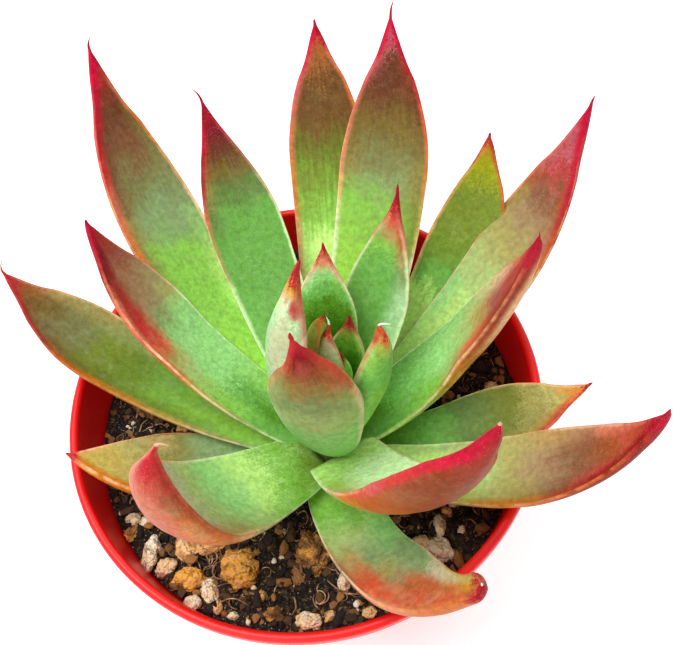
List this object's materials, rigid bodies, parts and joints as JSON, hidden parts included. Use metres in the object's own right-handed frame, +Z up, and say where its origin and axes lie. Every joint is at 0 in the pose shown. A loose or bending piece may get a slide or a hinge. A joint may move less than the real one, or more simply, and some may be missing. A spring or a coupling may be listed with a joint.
{
  "type": "potted succulent rosette",
  "caption": "Fleshy green rosette with red-tipped pointed leaves, growing in gritty soil in a round tapered red plastic pot.",
  "frame": {"origin": "middle of the pot's flat foot, on the surface that it stands on", "axes": "+Z up along the pot's axis; -Y towards the viewer of the picture; +X to the viewer's right"},
  "size_m": [0.1259, 0.1165, 0.1339],
  "materials": {
    "pot": "semi-gloss moulded plastic",
    "soil": "rough bark and peat mix with pumice grains",
    "stem": "green bark, matt",
    "leaf": "fleshy green skin, satin, red towards the tip and margins"
  },
  "bodies": {
    "root": {"pot": "pot", "soil": "soil", "stem": "stem", "leaf_01": "leaf", "leaf_02": "leaf", "leaf_03": "leaf", "leaf_04": "leaf", "leaf_05": "leaf", "leaf_06": "leaf", "leaf_07": "leaf", "leaf_08": "leaf", "leaf_09": "leaf", "leaf_10": "leaf", "leaf_11": "leaf", "leaf_12": "leaf", "leaf_13": "leaf", "leaf_14": "leaf", "leaf_15": "leaf", "leaf_16": "leaf", "leaf_17": "leaf", "leaf_18": "leaf", "leaf_19": "leaf", "leaf_20": "leaf", "leaf_21": "leaf", "leaf_22": "leaf", "leaf_23": "leaf", "leaf_24": "leaf"}
  },
  "joints": []
}
